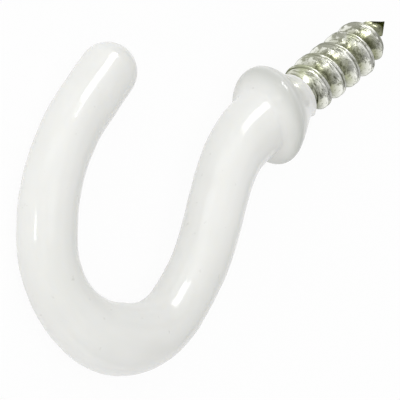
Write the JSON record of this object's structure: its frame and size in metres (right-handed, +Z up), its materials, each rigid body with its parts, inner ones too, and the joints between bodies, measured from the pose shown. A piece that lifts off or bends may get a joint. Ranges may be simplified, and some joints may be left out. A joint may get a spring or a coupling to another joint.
{
  "type": "screw hook",
  "caption": "Shouldered screw hook: round steel wire bent to an open bowl, dipped in white vinyl, with a collar and a pointed wood-screw thread.",
  "frame": {"origin": "middle of the bounding box, at the floor the hook lies on", "axes": "+X along the screw toward its point (raised 3.4 degrees off the floor as the hook lies), +Y across the plane of the hook toward the tip of the hook, +Z up"},
  "size_m": [0.0448, 0.024, 0.0078],
  "materials": {
    "zinc_steel": "bright zinc plate with a faint yellow-green cast, rolled thread",
    "white_vinyl": "glossy white dipped vinyl, slightly uneven"
  },
  "bodies": {
    "root": {"steel_hook": "zinc_steel", "vinyl_coat": "white_vinyl"}
  },
  "joints": []
}
